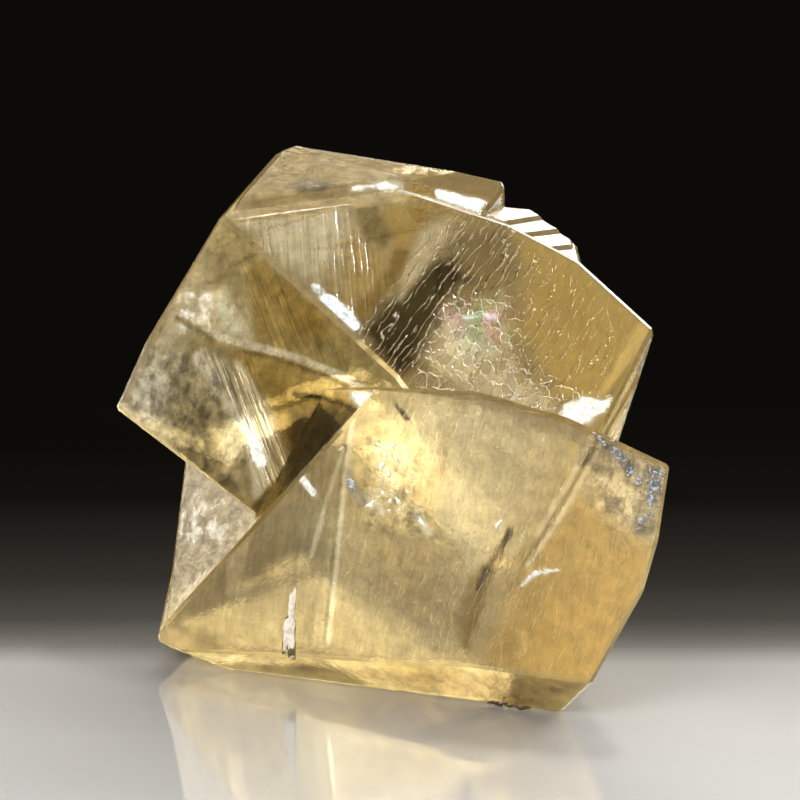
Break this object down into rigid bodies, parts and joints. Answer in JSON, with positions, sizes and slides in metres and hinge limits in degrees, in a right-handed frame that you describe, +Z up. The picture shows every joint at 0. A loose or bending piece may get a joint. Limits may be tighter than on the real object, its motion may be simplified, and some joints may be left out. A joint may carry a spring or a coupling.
{
  "type": "twinned calcite crystal specimen",
  "caption": "Two thick see-through honey-coloured calcite crystals grown into each other at an angle, with flat faces, a stepped ledge and a flat underside to stand on.",
  "frame": {"origin": "centre of the bounding box at its lowest level, on the flat underside that the specimen stands on", "axes": "+Z up, -Y towards the broad front face of the lower crystal, +X to the right as one looks at that face, along the specimen's longest side"},
  "size_m": [0.058, 0.0486, 0.0535],
  "materials": {
    "calcite": "clear to slightly milky honey calcite, bright natural faces with growth lines, one etched face"
  },
  "bodies": {
    "root": {"twinned_calcite": "calcite"}
  },
  "joints": []
}
